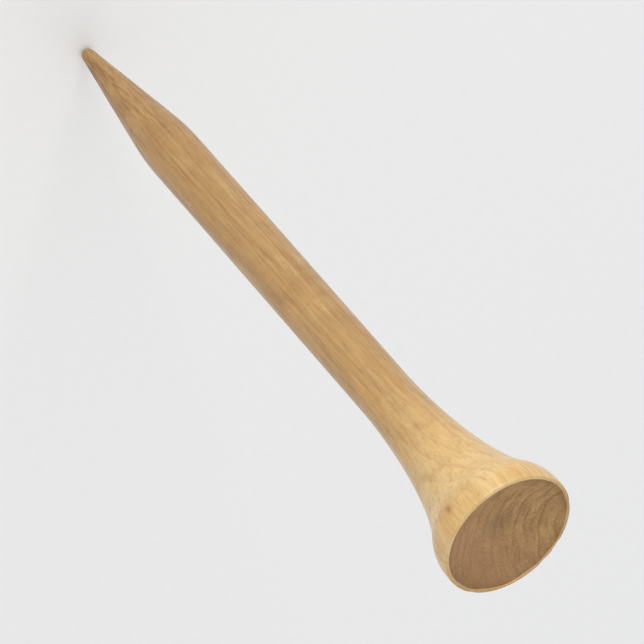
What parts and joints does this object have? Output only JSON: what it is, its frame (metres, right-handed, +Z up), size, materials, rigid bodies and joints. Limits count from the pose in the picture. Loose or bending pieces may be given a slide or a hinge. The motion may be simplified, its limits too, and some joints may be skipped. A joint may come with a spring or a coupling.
{
  "type": "golf tee",
  "caption": "Turned wooden peg with a flared, dished head and a pointed shank, lacquered outside and bare in the cup, to hold a ball above turf.",
  "frame": {"origin": "the lowest spot of the point, on the tee's axis", "axes": "+Z up along the tee's axis, from the point to the ball seat; the tee is round, so X and Y are free"},
  "size_m": [0.0122, 0.0122, 0.0698],
  "materials": {
    "birch": "bare turned wood, matte",
    "clear_lacquer": "satin clear lacquer, lightly worn"
  },
  "bodies": {
    "root": {"turned_body": "birch", "lacquer_film": "clear_lacquer"}
  },
  "joints": []
}
